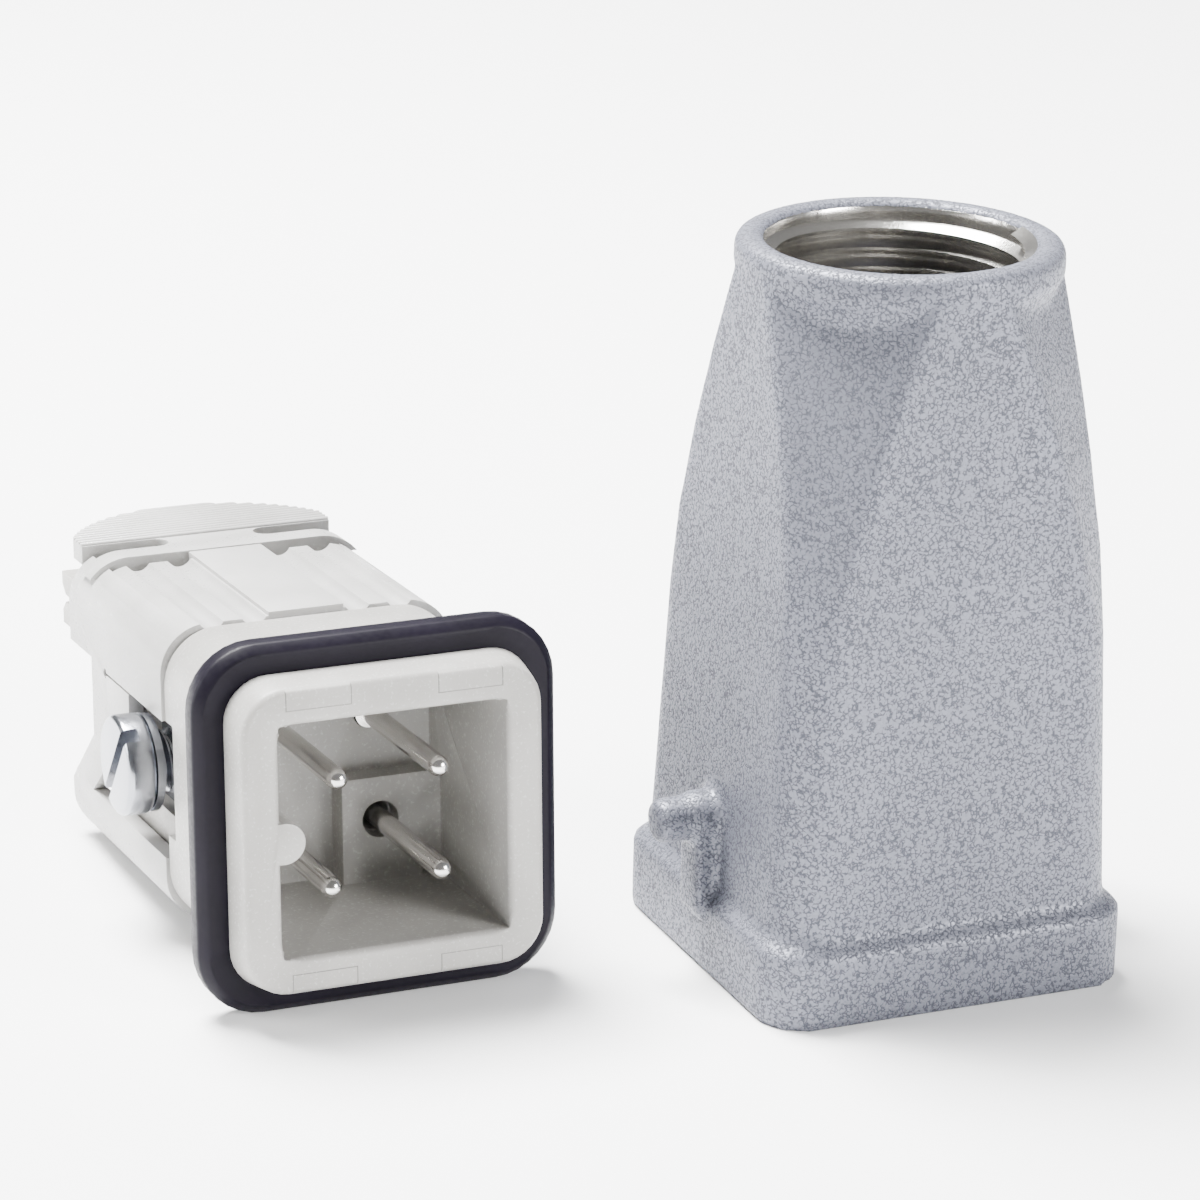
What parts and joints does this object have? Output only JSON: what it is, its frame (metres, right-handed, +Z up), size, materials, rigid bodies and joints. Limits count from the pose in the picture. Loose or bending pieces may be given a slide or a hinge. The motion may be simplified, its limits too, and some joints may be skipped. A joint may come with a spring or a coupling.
{
  "type": "heavy duty rectangular connector",
  "caption": "Heavy duty rectangular connector taken apart: die-cast hood with threaded entry and locking pegs, and its male insert with seal, screw terminals and sliding rear cover.",
  "frame": {"origin": "middle of the footprint of the two halves, on the surface they stand on", "axes": "+Z up along the hood's cable entry axis, +Y towards the insert's rear, +X from the insert to the hood"},
  "size_m": [0.0722, 0.0665, 0.0558],
  "materials": {
    "hood_paint": "silver grey hammertone enamel over a die casting, thread left bare",
    "carrier_plastic": "light warm grey glass filled plastic",
    "cover_plastic": "light warm grey moulded plastic",
    "seal_rubber": "blue black moulded rubber, slight sheen",
    "silver_plate": "silver plated copper alloy",
    "zinc_plate": "bright zinc plated steel"
  },
  "bodies": {
    "connector": {"hood_shell": "hood_paint", "contact_carrier": "carrier_plastic", "profile_seal": "seal_rubber", "terminal_block": "carrier_plastic", "contact_1": "silver_plate", "contact_2": "silver_plate", "contact_3": "silver_plate", "earth_pin": "silver_plate", "earth_strap": "zinc_plate"},
    "cover": {"rear_cover": "cover_plastic"},
    "washer": {"earth_washer": "zinc_plate"},
    "screw": {"earth_screw": "zinc_plate"},
    "leaf_1": {"clamp_leaf_1": "zinc_plate"},
    "terminal_screw_1": {"terminal_screw_1": "zinc_plate"},
    "leaf_2": {"clamp_leaf_2": "zinc_plate"},
    "terminal_screw_2": {"terminal_screw_2": "zinc_plate"},
    "leaf_3": {"clamp_leaf_3": "zinc_plate"},
    "terminal_screw_3": {"terminal_screw_3": "zinc_plate"}
  },
  "joints": [
    {"name": "cover_slide", "type": "slide", "parent": "connector", "child": "cover", "axis": [0, 0.9974, -0.0725], "range_m": [0, 0.016]},
    {"name": "washer_travel", "type": "slide", "parent": "connector", "child": "washer", "axis": [1, 0, 0], "range_m": [0, 0.002]},
    {"name": "earth_screw_turn", "type": "hinge", "parent": "washer", "child": "screw", "pos_m": [-0.0338, 0.00374, 0.01297], "axis": [1, 0, 0], "range_deg": [0, 900]},
    {"name": "leaf_1_travel", "type": "slide", "parent": "connector", "child": "leaf_1", "axis": [0, -0.0725, -0.9974], "range_m": [0, 0.00125]},
    {"name": "terminal_screw_1_turn", "type": "hinge", "parent": "leaf_1", "child": "terminal_screw_1", "pos_m": [-0.02575, 0.01246, 0.02121], "axis": [0, -0.0725, -0.9974], "range_deg": [0, 900]},
    {"name": "leaf_2_travel", "type": "slide", "parent": "connector", "child": "leaf_2", "axis": [0, -0.0725, -0.9974], "range_m": [0, 0.00125]},
    {"name": "terminal_screw_2_turn", "type": "hinge", "parent": "leaf_2", "child": "terminal_screw_2", "pos_m": [-0.01785, 0.01246, 0.02121], "axis": [0, -0.0725, -0.9974], "range_deg": [0, 900]},
    {"name": "leaf_3_travel", "type": "slide", "parent": "connector", "child": "leaf_3", "axis": [0, 0.0725, 0.9974], "range_m": [0, 0.00125]},
    {"name": "terminal_screw_3_turn", "type": "hinge", "parent": "leaf_3", "child": "terminal_screw_3", "pos_m": [-0.02635, 0.01114, 0.00306], "axis": [0, 0.0725, 0.9974], "range_deg": [0, 900]}
  ],
  "couplings": [
    {"joint": "earth_screw_turn", "follows": "washer_travel", "rad_per_m": 7854},
    {"joint": "terminal_screw_1_turn", "follows": "leaf_1_travel", "rad_per_m": 12566},
    {"joint": "terminal_screw_2_turn", "follows": "leaf_2_travel", "rad_per_m": 12566},
    {"joint": "terminal_screw_3_turn", "follows": "leaf_3_travel", "rad_per_m": 12566}
  ]
}
